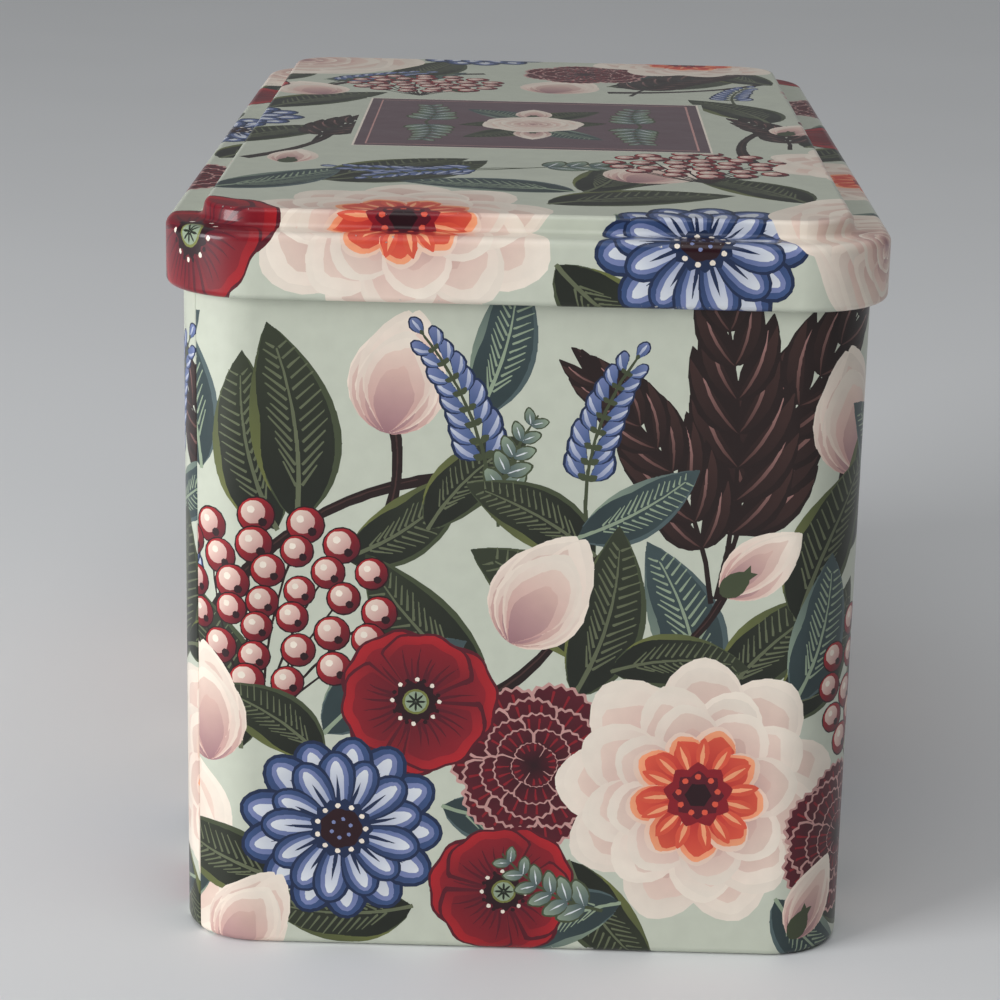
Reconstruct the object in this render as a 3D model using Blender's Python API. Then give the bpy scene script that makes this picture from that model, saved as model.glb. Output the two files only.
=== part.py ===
"""Deep rectangular tinplate keepsake box with a stepped lid that slips over its walls.

The short side faces -Y, +X is to its right and +Z is up. The origin is on the ground,
under the middle of the closed box. All sizes are in metres.
"""
from math import cos, degrees, radians, sin, sqrt

import bmesh
import bpy
from mathutils import Vector

# Closed box
LID_WIDTH = 0.154        # along X, outside the skirt
LID_DEPTH = 0.267        # along Y, outside the skirt
HEIGHT = 0.1645          # ground to the top of the lid
LID_CORNER = 0.0203      # plan radius of the skirt's corners
OVERHANG = 0.00365       # the skirt stands this far outside the walls
SHEET = 0.0003           # tinplate thickness
GAP = 0.0003             # clearance between sheets that touch

# Lid section
STEP_RISE = 0.0036       # raised panel above the shoulder
STEP_INSET = 0.0076      # foot of the step, in from the skirt
STEP_RUN = 0.0008        # how far the step leans inward on its way up
STEP_EDGE = 0.0013       # radius of the raised panel's edge
STEP_FOOT = 0.0012       # radius at the foot of the step
SHOULDER_EDGE = 0.0020   # radius from the shoulder to the skirt
SKIRT_HEIGHT = 0.0142    # top of the shoulder to the bottom of the hem
HEM = 0.0028             # diameter of the hem rolled inward along the skirt

# Wall section
RIM = 0.0024             # diameter of the rim rolled inward along the walls
TUCK = 0.0018            # radius of the walls' lower edge
FOOT_RING = 0.0046       # the walls turn in this far under the box
FOOT_BEND = 0.0009       # radius where the foot ring turns up
FOOT_UPTURN = 0.0032     # height of the turned-up edge, which the bottom panel hooks over

# Bottom panel
FLOOR_UNDERSIDE = 0.0010   # height of the panel's underside above the ground
BOTTOM_HOOK_END = 0.0012   # height of the hook's free edge above the ground
BOTTOM_BEND = 0.0008       # radius where the floor meets the hook's inner wall
HOOK_BEND = 0.0005         # radius of the hook's two upper bends

# Side seams, one at each of two opposite corners
SEAM_ANGLE = 218.0       # direction of the near left seam line from its corner's centre
SEAM_OVERLAP = 0.0040    # how far the two sheets hook behind each other
SEAM_JOGGLE = 0.0013     # length over which the inner sheet steps in behind the outer one
SEAM_MARGIN = 0.0006     # the rim and the foot ring stop this far short of the seam line

# Fineness of the faceted curves
CORNER_STEPS = 8
ROLL_STEPS = 6
BEND_STEPS = 3

# Sizes that follow from the ones above
SHOULDER_Z = HEIGHT - STEP_RISE
HEM_Z = SHOULDER_Z - SKIRT_HEIGHT
BODY_WIDTH = LID_WIDTH - 2 * OVERHANG
BODY_DEPTH = LID_DEPTH - 2 * OVERHANG
BODY_CORNER = LID_CORNER - OVERHANG
RIM_Z = SHOULDER_Z - SHEET - GAP
HOOK_TOP_Z = FOOT_UPTURN + GAP + SHEET
FLOOR_TOP_Z = FLOOR_UNDERSIDE + SHEET
SEAM_LOW_Z = TUCK + GAP
SEAM_HIGH_Z = RIM_Z - RIM - GAP

# Which way each corner of the rounded rectangle lies, in turning order from the near right
CORNERS = ((1, -1, -90), (1, 1, 0), (-1, 1, 90), (-1, -1, 180))

PRINTED = (0.56, 0.62, 0.54, 1.0)
BARE_TIN = (0.72, 0.72, 0.70, 1.0)


def clear_scene():
    for item in list(bpy.data.objects):
        bpy.data.objects.remove(item, do_unlink=True)


def make_material(name, colour, roughness, metallic):
    material = bpy.data.materials.new(name)
    material.use_nodes = True
    shader = material.node_tree.nodes["Principled BSDF"]
    shader.inputs["Base Color"].default_value = colour
    shader.inputs["Roughness"].default_value = roughness
    shader.inputs["Metallic"].default_value = metallic
    return material


def arc(centre, radius, start, end, steps):
    """Points on an arc in a section, with angles in degrees and inset along 0 degrees."""
    points = []
    for step in range(steps + 1):
        angle = radians(start + (end - start) * step / steps)
        points.append((centre[0] + radius * cos(angle), centre[1] + radius * sin(angle)))
    return points


def bend(before, corner, after, radius, steps):
    """Points of the rounded corner of two straight runs of a section."""
    corner = Vector(corner)
    back = (Vector(before) - corner).normalized()
    ahead = (Vector(after) - corner).normalized()
    half_cosine = sqrt((1 + back.dot(ahead)) / 2)
    half_sine = sqrt((1 - back.dot(ahead)) / 2)
    centre = corner + (back + ahead).normalized() * (radius / half_sine)
    first = corner + back * (radius * half_cosine / half_sine) - centre
    last = corner + ahead * (radius * half_cosine / half_sine) - centre
    points = []
    for step in range(steps + 1):
        direction = first.slerp(last, step / steps)
        points.append(tuple(centre + direction.normalized() * radius))
    return points


def other_face(path):
    """The sheet's second face, one thickness to the right of the path of its first."""
    points = [Vector(point) for point in path]
    shifted = []
    for index, point in enumerate(points):
        here = points[index] - points[index - 1] if index > 0 else points[1] - points[0]
        there = points[index + 1] - point if index + 1 < len(points) else here
        right_before = Vector((here.y, -here.x)).normalized()
        right_after = Vector((there.y, -there.x)).normalized()
        mitre = (right_before + right_after) / (1 + right_before.dot(right_after))
        shifted.append(tuple(point + mitre * SHEET))
    return shifted


def stations_of_corner(width, depth, radius, corner, start, end, steps):
    """Places round one corner of a rounded rectangle, as (centre, direction) pairs."""
    side_x, side_y, first_angle = CORNERS[corner]
    centre = Vector((side_x * (width / 2 - radius), side_y * (depth / 2 - radius)))
    places = []
    for step in range(steps + 1):
        angle = radians(first_angle + start + (end - start) * step / steps)
        places.append((centre, Vector((cos(angle), sin(angle)))))
    return places


def whole_outline(width, depth, radius):
    places = []
    for corner in range(len(CORNERS)):
        places += stations_of_corner(width, depth, radius, corner, 0, 90, CORNER_STEPS)
    return places


def add_ring(mesh, places, radius, inset, height):
    """One closed or open row of vertices that follows the outline at an inset and a height."""
    row = []
    for centre, direction in places:
        spot = centre + direction * (radius - inset)
        row.append(mesh.verts.new((spot.x, spot.y, height)))
    return row


def finish_mesh(mesh, name, material):
    bmesh.ops.recalc_face_normals(mesh, faces=mesh.faces[:])
    bmesh.ops.triangulate(mesh, faces=mesh.faces[:])
    data = bpy.data.meshes.new(name)
    mesh.to_mesh(data)
    mesh.free()
    data.materials.append(material)
    data.shade_smooth()
    data.set_sharp_from_angle(angle=radians(35))
    return data


def make_object(name, data, turn=0.0):
    item = bpy.data.objects.new(name, data)
    item.rotation_euler.z = radians(turn)
    bpy.context.scene.collection.objects.link(item)
    return item


def pressed_panel(name, path, width, depth, radius, material):
    """A sheet pressed all round its edge to the section, and flat across the middle."""
    mesh = bmesh.new()
    places = whole_outline(width, depth, radius)
    section = path[::-1] + other_face(path)
    rings = [add_ring(mesh, places, radius, inset, height) for inset, height in section]
    count = len(places)
    for ring, following in zip(rings, rings[1:]):
        for spot in range(count):
            after = (spot + 1) % count
            mesh.faces.new((ring[spot], ring[after], following[after], following[spot]))
    mesh.faces.new(rings[0])
    mesh.faces.new(rings[-1])
    return make_object(name, finish_mesh(mesh, name, material))


def lid_section():
    """The lid's outer face, from the hem's free edge up the skirt to the raised panel."""
    hem_centre = (HEM / 2, HEM_Z + HEM / 2)
    step_foot = (STEP_INSET, SHOULDER_Z)
    step_top = (STEP_INSET + STEP_RUN, HEIGHT)
    inner_end = (step_top[0] + 2 * STEP_EDGE, HEIGHT)
    shoulder_corner = (0.0, SHOULDER_Z)
    path = arc(hem_centre, HEM / 2, 90, -180, ROLL_STEPS)
    path += bend((0.0, HEM_Z), shoulder_corner, step_foot, SHOULDER_EDGE, BEND_STEPS + 1)
    path += bend(shoulder_corner, step_foot, step_top, STEP_FOOT, BEND_STEPS)
    path += bend(step_foot, step_top, inner_end, STEP_EDGE, BEND_STEPS)
    path.append(inner_end)
    return path


def bottom_section():
    """The bottom panel's upper face, from its hook's free edge over the rim to the floor."""
    hook_outside = FOOT_RING - 2 * SHEET - GAP
    hook_inside = FOOT_RING + GAP + SHEET
    top_outside = (hook_outside, HOOK_TOP_Z)
    top_inside = (hook_inside, HOOK_TOP_Z)
    floor_corner = (hook_inside, FLOOR_TOP_Z)
    floor_end = (hook_inside + 3 * BOTTOM_BEND, FLOOR_TOP_Z)
    path = [(hook_outside, BOTTOM_HOOK_END)]
    path += bend(path[0], top_outside, top_inside, HOOK_BEND, BEND_STEPS)
    path += bend(top_outside, top_inside, floor_corner, HOOK_BEND, BEND_STEPS)
    path += bend(top_inside, floor_corner, floor_end, BOTTOM_BEND, BEND_STEPS)
    path.append(floor_end)
    return path


def wall_section():
    """The wall's outer face: turned-up foot edge, foot ring, tuck, wall and rolled rim."""
    foot_edge = (FOOT_RING, FOOT_UPTURN)
    foot_corner = (FOOT_RING, 0.0)
    tuck_corner = (0.0, 0.0)
    rim_centre = (RIM / 2, RIM_Z - RIM / 2)
    path = [foot_edge]
    path += bend(foot_edge, foot_corner, tuck_corner, FOOT_BEND, BEND_STEPS)
    path += bend(foot_corner, tuck_corner, (0.0, RIM_Z), TUCK, BEND_STEPS)
    path += [(0.0, SEAM_LOW_Z), (0.0, SEAM_HIGH_Z)]
    path += arc(rim_centre, RIM / 2, 180, -90, ROLL_STEPS)
    return path


def outer_hook():
    """Plan of the fold of the outer sheet at a seam, as (along, depth) pairs for two faces.

    Along is measured from the seam line over the sheet, and depth from its outer face.
    """
    fold_depth = 3 * SHEET + 2 * GAP
    end = SEAM_OVERLAP - 2 * SHEET - GAP
    outer = [(0.0, 0.0), (0.0, fold_depth), (end, fold_depth)]
    inner = [(SHEET, SHEET), (SHEET, fold_depth - SHEET), (end, fold_depth - SHEET)]
    return outer, inner


def inner_hook():
    """Plan of the sheet that steps in behind a seam and hooks into the outer sheet's fold."""
    depth = 3 * SHEET + 3 * GAP
    back_depth = SHEET + GAP
    fold = SEAM_OVERLAP
    end = SHEET + GAP
    outer = [(-GAP, depth), (fold - SHEET, depth), (fold - SHEET, back_depth + SHEET),
             (end, back_depth + SHEET)]
    inner = [(-GAP - SHEET / 2, depth + SHEET), (fold, depth + SHEET), (fold, back_depth),
             (end, back_depth)]
    return outer, inner


def seam_spot(corner, along, depth):
    """Where a point of a seam's plan lies, at the near left or the far right corner."""
    side_x, side_y, first_angle = CORNERS[corner]
    line_angle = SEAM_ANGLE if corner == 3 else SEAM_ANGLE - 180
    angle = radians(line_angle) + along / BODY_CORNER
    centre = Vector((side_x * (BODY_WIDTH / 2 - BODY_CORNER), side_y * (BODY_DEPTH / 2 - BODY_CORNER)))
    return centre + Vector((cos(angle), sin(angle))) * (BODY_CORNER - depth)


def add_hook(mesh, start, corner, plan):
    """Carry the wall's plain band on from its end round a seam's hook.

    start holds the band's four vertices: outer low, outer high, inner high, inner low.
    """
    current = start
    for outer, inner in zip(*plan):
        row = []
        for (along, depth), height in ((outer, SEAM_LOW_Z), (outer, SEAM_HIGH_Z),
                                       (inner, SEAM_HIGH_Z), (inner, SEAM_LOW_Z)):
            spot = seam_spot(corner, along, depth)
            row.append(mesh.verts.new((spot.x, spot.y, height)))
        for side in range(4):
            after = (side + 1) % 4
            mesh.faces.new((current[side], current[after], row[after], row[side]))
        current = row
    mesh.faces.new(current)


def wall_panel_mesh(material):
    """The near and right walls as one bent sheet, with a seam hook along each upright edge."""
    seam_turn = SEAM_ANGLE - 180
    margin = degrees(SEAM_MARGIN / BODY_CORNER)
    joggle = degrees(SEAM_JOGGLE / BODY_CORNER)
    near_left = stations_of_corner(BODY_WIDTH, BODY_DEPTH, BODY_CORNER, 3,
                                   seam_turn + margin, 90, CORNER_STEPS * 5 // 8)
    near_right = stations_of_corner(BODY_WIDTH, BODY_DEPTH, BODY_CORNER, 0,
                                    0, 90, CORNER_STEPS)
    far_right = stations_of_corner(BODY_WIDTH, BODY_DEPTH, BODY_CORNER, 1,
                                   0, seam_turn - joggle, CORNER_STEPS * 3 // 8)
    places = near_left + near_right + far_right
    path = wall_section()
    section = path + other_face(path)[::-1]
    mesh = bmesh.new()
    rows = [add_ring(mesh, places, BODY_CORNER, inset, height) for inset, height in section]
    count = len(section)
    for index in range(count):
        row, following = rows[index], rows[(index + 1) % count]
        for spot in range(len(places) - 1):
            mesh.faces.new((row[spot], row[spot + 1], following[spot + 1], following[spot]))
    low = path.index((0.0, SEAM_LOW_Z))
    high = low + 1
    inner_high = count - 1 - high
    inner_low = count - 1 - low
    for end, corner, plan in ((0, 3, outer_hook()), (-1, 1, inner_hook())):
        column = [row[end] for row in rows]
        mesh.faces.new(column[:low + 1] + column[inner_low:])
        mesh.faces.new(column[high:inner_high + 1])
        band = (column[low], column[high], column[inner_high], column[inner_low])
        add_hook(mesh, band, corner, plan)
    return finish_mesh(mesh, "wall_panel", material)


def main():
    clear_scene()
    printed = make_material("printed_tin", PRINTED, 0.32, 0.0)
    bare = make_material("bare_tin", BARE_TIN, 0.35, 1.0)
    panel = wall_panel_mesh(printed)
    make_object("front_right_wall", panel)
    make_object("back_left_wall", panel, turn=180)
    pressed_panel("bottom_panel", bottom_section(), BODY_WIDTH, BODY_DEPTH, BODY_CORNER, bare)
    pressed_panel("lid", lid_section(), LID_WIDTH, LID_DEPTH, LID_CORNER, printed)


main()
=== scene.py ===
"""Printed tinplate keepsake box with a stepped slip lid, dressed and lit for rendering.

The short side faces -Y, +X is to its right and +Z is up. Sections and the print are laid
out in millimetres, and meshes are made in metres.
"""
from cmath import phase
from math import ceil, floor, pi, radians, sin, tan

import bpy
import numpy as np
from mathutils import Matrix, Vector
from mathutils.geometry import delaunay_2d_cdt


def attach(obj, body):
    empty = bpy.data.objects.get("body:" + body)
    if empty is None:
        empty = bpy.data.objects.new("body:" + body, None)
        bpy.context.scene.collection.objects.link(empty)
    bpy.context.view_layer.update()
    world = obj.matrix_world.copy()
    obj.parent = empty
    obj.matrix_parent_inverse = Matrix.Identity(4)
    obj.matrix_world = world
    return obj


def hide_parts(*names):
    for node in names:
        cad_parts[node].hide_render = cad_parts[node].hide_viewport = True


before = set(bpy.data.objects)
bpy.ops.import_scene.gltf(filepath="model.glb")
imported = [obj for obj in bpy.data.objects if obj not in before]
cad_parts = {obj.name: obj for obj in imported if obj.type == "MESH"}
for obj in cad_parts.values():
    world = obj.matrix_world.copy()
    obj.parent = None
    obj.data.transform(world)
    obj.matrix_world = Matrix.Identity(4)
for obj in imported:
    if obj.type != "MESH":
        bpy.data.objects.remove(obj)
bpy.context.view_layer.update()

MM = 0.001

# Closed box
LID_WIDTH = 154.0        # along X, outside the skirt
LID_DEPTH = 267.0        # along Y, outside the skirt
HEIGHT = 164.5           # ground to the top of the lid
LID_CORNER = 20.3        # plan radius of the skirt's corners
OVERHANG = 3.65          # the skirt stands this far outside the walls
SHEET = 0.3              # tinplate thickness
GAP = 0.3                # clearance between sheets that touch

# Lid section
STEP_RISE = 3.6
STEP_INSET = 7.6
STEP_RUN = 0.8
STEP_EDGE = 1.3
STEP_FOOT = 1.2
SHOULDER_EDGE = 2.0
SKIRT_HEIGHT = 14.2
HEM = 2.8

# Wall section
RIM = 2.4
TUCK = 1.8
FOOT_RING = 4.6
FOOT_BEND = 0.9
FOOT_UPTURN = 3.2

# Bottom panel
FLOOR_UNDERSIDE = 1.0
BOTTOM_HOOK_END = 1.2
BOTTOM_BEND = 0.8
HOOK_BEND = 0.5

# Side seams
SEAM_ANGLE = 218.0       # direction of the near left seam line from its corner's centre
SEAM_FOLD = 4.0          # width of the folded strip inside the wall
FOLD_DEPTH = 1.5         # its thickness, with the wall's own
FOLD_EDGE = 0.4          # its rounded edges
GROOVE_HALF = 0.45       # half the width of the groove that shows outside
GROOVE_DEPTH = 0.55

# Sizes that follow from the ones above
SHOULDER_Z = HEIGHT - STEP_RISE
HEM_Z = SHOULDER_Z - SKIRT_HEIGHT
BODY_WIDTH = LID_WIDTH - 2 * OVERHANG
BODY_DEPTH = LID_DEPTH - 2 * OVERHANG
BODY_CORNER = LID_CORNER - OVERHANG
RIM_Z = SHOULDER_Z - SHEET - GAP
SEAM_LOW_Z = TUCK + GAP
SEAM_HIGH_Z = RIM_Z - RIM - GAP

# Centres of the far right corners in plan
LID_CORE = complex(LID_WIDTH / 2 - LID_CORNER, LID_DEPTH / 2 - LID_CORNER)
BODY_CORE = complex(BODY_WIDTH / 2 - BODY_CORNER, BODY_DEPTH / 2 - BODY_CORNER)

# Fineness of the curves
CORNER_STEPS = 24
LIP_POINTS = 5           # across each lip of the groove along a seam
TURN_STEP = 15.0         # degrees from facet to facet round a bend of a section
SAME = 1e-6              # places nearer than this are one

# Inks of the print, as sRGB
GROUND = (191, 196, 181)
CREAM = (232, 221, 207)
SHELL = (224, 201, 187)
BLUSH = (212, 179, 167)
ROSE = (188, 143, 138)
MAUVE = (152, 112, 118)
CORAL = (212, 84, 62)
PEACH = (238, 160, 118)
SCARLET = (168, 29, 37)
RED = (132, 23, 35)
BURGUNDY = (84, 18, 32)
WINE = (38, 11, 19)
NAVY = (27, 41, 72)
BLUE = (58, 80, 124)
PERIWINKLE = (118, 128, 170)
FROST = (214, 218, 222)
PINE = (29, 33, 25)
MOSS = (66, 74, 52)
OLIVE = (114, 118, 62)
SAGE = (140, 155, 132)
VEIN = (94, 100, 76)
BARK = (34, 20, 19)
UMBER = (66, 42, 38)
SLATE = (46, 60, 62)
STEEL = (76, 92, 94)
PLUM = (98, 79, 86)

# Bands of a petal, from the widest to the narrowest: outer ink, ink at the foot, share
PALE_PETAL = ((CREAM, SHELL, 1), (CREAM, BLUSH, 0.94), (SHELL, ROSE, 0.84), (BLUSH, MAUVE, 0.66))
ROSY_PETAL = ((CREAM, BLUSH, 1), (SHELL, ROSE, 0.90), (BLUSH, MAUVE, 0.72))
HEART_PETAL = ((SHELL, PEACH, 1), (PEACH, CORAL, 0.94), (CORAL, SCARLET, 0.86))
BLUE_PETAL = ((NAVY, NAVY, 1), (BLUE, NAVY, 0.965), (PERIWINKLE, BLUE, 0.92), (FROST, PERIWINKLE, 0.87))
RED_PETAL = ((BURGUNDY, BURGUNDY, 1.02), (SCARLET, BURGUNDY, 0.985), (RED, BURGUNDY, 0.86))
DARK_PETAL = ((ROSE, ROSE, 1), (BURGUNDY, WINE, 0.965))

# Inks of a leaf: rim, inside, margin, ribs
DARK_LEAF = (MOSS, PINE, OLIVE, VEIN)
TEAL_LEAF = (STEEL, SLATE, SAGE, SAGE)
TONE_SPREAD = 0.025      # each shape's ink is lighter or darker by up to this share


# Motifs: outlines are arrays of complex numbers, with the real axis along the sheet. Their parts
# are shares of the motif's size. Turns and leans are in degrees, and bends in radians.

def turned(angle):
    return np.exp(1j * np.radians(angle))


def blade(length, width, belly=1.0, tip=1.0, bend=0.0, steps=13):
    """Outline of a petal or a leaf that starts at 0 and runs along the real axis."""
    share = (1 - np.cos(np.pi * np.linspace(0, 1, steps))) / 2
    half = width / 2 * np.sin(np.pi * share ** belly) ** tip
    side = share * length + 1j * half
    outline = np.concatenate([side, side[-2:0:-1].conj()])
    return outline * np.exp(1j * bend * outline.real / length)


def fan(length, spread, waves, depth, steps):
    """Outline of a broad petal: a sector whose outer edge is waved or toothed."""
    angle = np.linspace(-spread / 2, spread / 2, steps)
    rise = np.cos(3.1 * angle / spread) ** 0.35
    reach = length * (0.78 + 0.22 * rise + depth * np.cos(waves * 2 * np.pi * angle / spread))
    return np.concatenate([[0], reach * np.exp(1j * np.radians(angle))])


def disc(radius, steps=16, ripple=0.0, waves=5):
    angle = np.linspace(0, 2 * np.pi, steps, endpoint=False)
    return radius * (1 + ripple * np.cos(waves * angle)) * np.exp(1j * angle)


def stroke(points, start, end, middle=None):
    """Outline of a brush stroke along points, with its width at the start and the end."""
    points = np.asarray(points, complex)
    along = np.gradient(points)
    share = np.linspace(0, 1, len(points))
    middle = (start + end) / 2 if middle is None else middle
    width = np.interp(share, (0, 0.5, 1), (start, middle, end))
    side = 0.5j * width * along / abs(along)
    return np.concatenate([points + side, (points - side)[::-1]])


def curve(start, end, bow, steps):
    """Points on a shallow arc from start to end that bows to the left by a share of its length."""
    share = np.linspace(0, 1, steps)
    return start + (end - start) * (share + 4j * bow * share * (1 - share))


def stem(foot, size, turn, bow, steps):
    return curve(foot, foot + size * turned(turn), bow, steps)


def direction(line, step):
    """Heading of a line at one of its points."""
    return np.degrees(np.angle(line[min(step + 1, len(line) - 1)] - line[step - 1]))


class Print:
    """An ordered list of flat shapes: later ones cover earlier ones."""

    def __init__(self, seed):
        self.shapes = []
        self.random = np.random.default_rng(seed)

    def vary(self, spread):
        return self.random.uniform(-spread, spread)

    def near(self, size, share):
        """The size, off by up to a share of it."""
        return size * (1 + self.vary(share))

    def headings(self, count, turn=0.0, spread=0.0, shift=0.0):
        """Headings evenly all round, each off by up to the spread."""
        for number in range(count):
            yield turn + (number + shift) * 360 / count + (self.vary(spread) if spread else 0.0)

    def rings(self, size, turn, rings, spread, off=0.05):
        """Heading and length of each petal, ring by ring, and its ring: share of the size, count, more."""
        for number, ring in enumerate(rings):
            for angle in self.headings(ring[1], turn, spread, 0.5 * number):
                yield angle, self.near(size * ring[0], off), ring

    def paint(self, outline, ink, fade=None, start=0j, run=1 + 0j):
        """Lay a shape in one ink, or in one that turns into another along the run from start."""
        tone = (1 + self.vary(TONE_SPREAD)) / 255
        inks = np.minimum(1, np.array((ink, fade or ink)) * tone)
        self.shapes.append((np.asarray(outline), inks, start, run))

    def shade(self, at, outline, run, outer, inner):
        """Lay a shape at a place, in an ink that turns into another from its far end to its foot."""
        self.paint(at + outline, outer, inner, at + run, -run)

    def dots(self, at, reach, radius, count, ink, turn=0.0, steps=8):
        for angle in self.headings(count, turn):
            self.paint(at + reach * turned(angle) + disc(radius, steps), ink)

    def petal(self, at, turn, length, width, bands, belly=1.3, tip=0.7, bend=0.0, lean=4.0):
        """A petal in bands, each shorter and narrower and leaning a little to one side."""
        side = self.vary(lean)
        for band, (outer, inner, share) in enumerate(bands):
            outline = blade(length * share, width * share ** 1.4, belly, tip, bend)
            outline = outline * (1 + 0.012 * band * np.cos(np.arange(len(outline)) * 1.4 + side))
            run = length * share * turned(turn + side * band)
            self.shade(at, outline * run / abs(run), run, outer, inner)

    def broad_petal(self, at, turn, length, spread, bands, waves=2.0, depth=0.02, lean=5.0, steps=33):
        side = self.vary(lean)
        for band, (outer, inner, share) in enumerate(bands):
            run = length * share * turned(turn + side * band)
            outline = fan(length * share, spread * (1 - 0.07 * band), waves, depth, steps)
            self.shade(at, outline * run / abs(run), run, outer, inner)

    def dahlia(self, at, size, turn):
        """A broad bloom of pointed pale petals round a glowing heart."""
        rings = ((1.0, 9, PALE_PETAL), (0.84, 9, PALE_PETAL), (0.66, 8, ROSY_PETAL), (0.50, 9, HEART_PETAL))
        for angle, length, (_, count, bands) in self.rings(size, turn, rings, 4):
            self.petal(at, angle, length, length * 5.2 / count, bands, 1.7, 0.58)
        for angle in self.headings(15, turn, 5):
            way = turned(angle)
            spot = at + 0.16 * size * way
            self.paint(spot + blade(0.26 * size, 0.09 * size, 1.2, 0.8) * way, CORAL)
            self.paint(spot + blade(0.22 * size, 0.03 * size) * way, PEACH)
        self.paint(at + disc(0.22 * size, 36, 0.10, 9) * turned(turn), RED)
        self.paint(at + disc(0.16 * size, 32, 0.12, 8), BURGUNDY)
        self.dots(at, 0.135 * size, 0.022 * size, 9, CORAL, turn)
        self.paint(at + disc(0.085 * size, 18, 0.1, 6), WINE)

    def peony(self, at, size, turn):
        """A full bloom of broad rounded petals that close into a small rosy knot."""
        rings = ((1.0, 6, PALE_PETAL), (0.82, 6, PALE_PETAL), (0.62, 5, PALE_PETAL), (0.43, 5, ROSY_PETAL),
                 (0.26, 4, ROSY_PETAL))
        for angle, length, (_, count, bands) in self.rings(size, turn, rings, 7):
            self.broad_petal(at, angle, length, 520 / count, bands)
        for angle in self.headings(5, turn, 8):
            self.petal(at, angle, 0.15 * size, 0.12 * size, ROSY_PETAL)

    def aster(self, at, size, turn):
        """A flower of blue and white rays round a dark eye."""
        for angle, length, _ in self.rings(size, turn, ((1.0, 13), (0.80, 13)), 3):
            for (outer, inner, long), wide in zip(BLUE_PETAL, (1, 0.86, 0.60, 0.36)):
                run = length * long * turned(angle)
                outline = blade(length * long, 0.47 * length * wide, 1.9, 0.5)
                self.shade(at, outline * run / abs(run), run, outer, inner)
            self.paint(at + blade(length * 0.72, length * 0.05) * turned(angle), NAVY)
        self.paint(at + disc(0.30 * size, 52, 0.08, 13) * turned(turn), NAVY)
        self.paint(at + disc(0.21 * size, 28, 0.05, 7), WINE)
        self.dots(at, 0.245 * size, 0.028 * size, 11, CREAM)
        self.dots(at, 0.10 * size, 0.022 * size, 6, PERIWINKLE, 20, 7)

    def poppy(self, at, size, turn):
        """A red flower of six crinkled petals with streaks, a pod and dark stamens."""
        for angle, length, _ in self.rings(size, turn, ((1.0, 3), (0.94, 3)), 5, 0.03):
            self.broad_petal(at, angle, length, 104, RED_PETAL, 3.5, 0.018, 2.0)
            for streak in range(-3, 4):
                way = turned(angle + streak * 11 + self.vary(3))
                ends = (0.3 * length * way, length * (0.74 + self.vary(0.08)) * way)
                self.paint(at + stroke(curve(*ends, 0.04, 5), 0.05 * size, 0.004 * size), BURGUNDY)
        self.paint(at + disc(0.27 * size, 44, 0.10, 11) * turned(turn), WINE)
        for stamen, angle in enumerate(self.headings(16, 0.0, 5)):
            spot = at + 0.30 * size * turned(angle)
            self.paint(spot + disc(0.030 * size, 8), WINE if stamen % 2 else CREAM)
        self.paint(at + disc(0.17 * size, 20), OLIVE)
        self.paint(at + disc(0.14 * size, 20), SAGE)
        for angle in self.headings(8):
            self.paint(at + blade(0.14 * size, 0.03 * size) * turned(angle), PINE)

    def carnation(self, at, size, turn):
        """A dark flower of toothed petals, each with a fine pale edge."""
        rings = ((1.0, 7), (0.84, 7), (0.66, 6), (0.47, 5), (0.28, 4))
        for angle, length, (_, count) in self.rings(size, turn, rings, 6, 0.04):
            spread = 400 / count
            self.broad_petal(at, angle, length, spread, DARK_PETAL, 7, 0.022, 0.0, 43)
            for streak in (-1, 0, 1):
                way = turned(angle + streak * spread / 5)
                ends = (0.6 * length * way, 0.9 * length * way)
                self.paint(at + stroke(ends, 0.012 * size, 0.03 * size), RED)

    def berries(self, at, size, turn):
        """A loose head of small round fruit on dark stalks."""
        spots = []
        for ring, count in ((0.0, 1), (0.30, 6), (0.60, 11), (0.88, 15)):
            for berry in range(count):
                way = turned(turn + berry * 360 / count + ring * 40 + self.vary(4))
                spots.append((way.real * 1.15 + 1j * way.imag * 0.9) * size * (ring + self.vary(0.03)))
        for spot in spots[7::2]:
            self.paint(at + stroke(curve(-1.25j * size, spot, 0.06, 9), 0.7, 0.4), BARK)
        for spot in sorted(spots, key=lambda place: -place.imag):
            radius = self.near(size * 0.165, 0.1)
            spot = at + spot
            run = radius * (1 - 1j)
            self.paint(spot + disc(radius), WINE)
            self.paint(spot + disc(radius * 0.92), SCARLET, BURGUNDY, spot - run * 0.6, run * 1.3)
            shine = spot + radius * (-0.14 + 0.16j) + disc(radius * 0.62)
            self.paint(shine, SHELL, ROSE, spot - run * 0.5, run * 0.8)
            self.paint(spot + radius * (-0.26 + 0.30j) + disc(radius * 0.20, 9), CREAM)
            self.paint(spot + radius * (0.34 - 0.36j) + disc(radius * 0.24, 7), WINE)

    def tulip(self, at, size, turn):
        """A cup-shaped flower seen from the side; it stands on its foot."""
        for lean, reach, wide in ((44, 0.92, 0.44), (-44, 0.88, 0.44), (22, 1.0, 0.46), (-20, 1.02, 0.48),
                                  (30, 0.80, 0.44), (-30, 0.82, 0.44), (2, 0.84, 0.56)):
            bend = np.radians(-lean * 0.9)
            self.petal(at, turn + lean, size * reach, size * wide, PALE_PETAL, 1.15, 0.72, bend, 3)

    def bud(self, at, size, turn):
        """A closed bud of wrapped petals in two small sepals."""
        for lean, wide in ((10, 0.50), (-10, 0.52), (0, 0.40)):
            self.petal(at, turn + lean, size, size * wide, PALE_PETAL, 0.9, 0.8, np.radians(-lean), 3)
        for lean in (-26, 26):
            sepal = blade(size * 0.42, size * 0.17, 0.8, 0.9, np.radians(-lean * 1.3), 9)
            self.paint(at + sepal * turned(turn + lean), MOSS)

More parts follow.
